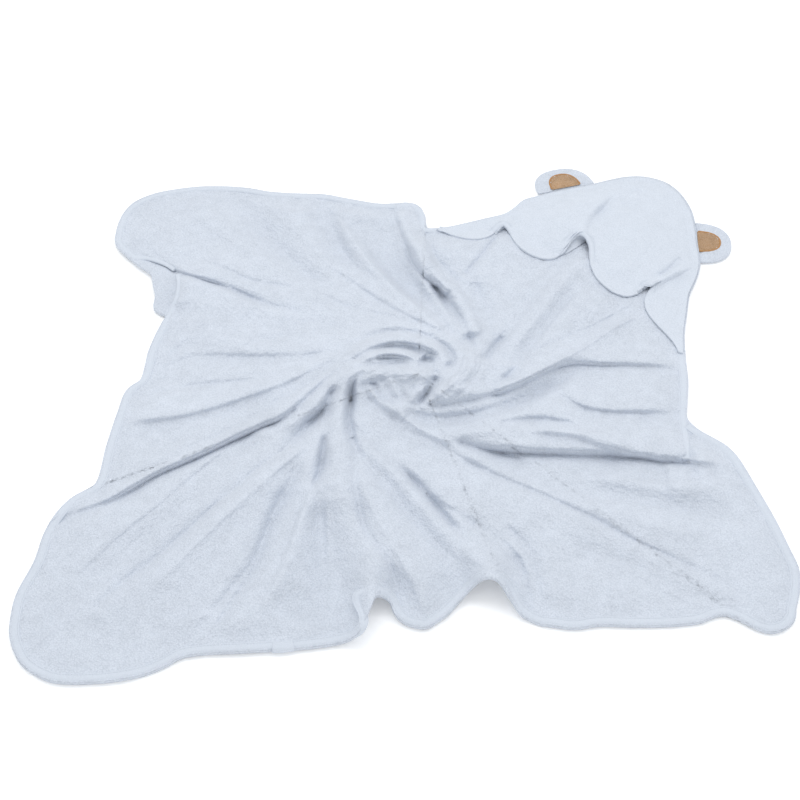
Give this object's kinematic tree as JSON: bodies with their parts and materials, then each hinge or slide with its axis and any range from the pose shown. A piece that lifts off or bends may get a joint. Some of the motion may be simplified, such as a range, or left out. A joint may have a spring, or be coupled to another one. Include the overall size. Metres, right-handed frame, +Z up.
{
  "type": "hooded baby towel",
  "caption": "Square terry baby towel with a hood pocket sewn over one corner and soft ears, bound round the rim, laid down and twisted into a swirl.",
  "frame": {"origin": "centre of the bounding box's base, on the surface that the towel lies on", "axes": "+Z up, the shortest extent; +Y towards the hood's back edge; +X to the right, with the hood's corner at +X +Y"},
  "size_m": [0.8258, 0.84, 0.0515],
  "materials": {
    "terry_white": "looped cotton terry pile",
    "tape_white": "plain woven cotton tape",
    "thread_white": "twisted sewing thread",
    "plush_tan": "short cut-pile plush",
    "thread_tan": "satin stitch thread"
  },
  "bodies": {
    "root": {"towel_panel": "terry_white", "edge_binding": "tape_white", "binding_join": "tape_white", "binding_stitching": "thread_white", "hood_panel": "terry_white", "hood_hem": "tape_white", "hood_hem_stitching": "thread_white"},
    "ear_left": {"ear_left_back": "terry_white", "ear_left_front": "terry_white", "ear_left_inner": "plush_tan", "ear_left_stitching": "thread_tan"},
    "ear_right": {"ear_right_back": "terry_white", "ear_right_front": "terry_white", "ear_right_inner": "plush_tan", "ear_right_stitching": "thread_tan"}
  },
  "joints": [
    {"name": "ear_left_fold", "type": "hinge", "parent": "root", "child": "ear_left", "pos_m": [0.20669, 0.37574, 0.007], "axis": [0.9579, 0.287, 0], "range_deg": [0, 135]},
    {"name": "ear_right_fold", "type": "hinge", "parent": "root", "child": "ear_right", "pos_m": [0.36886, 0.2568, 0.007], "axis": [-0.0901, -0.9959, 0], "range_deg": [0, 135]}
  ]
}
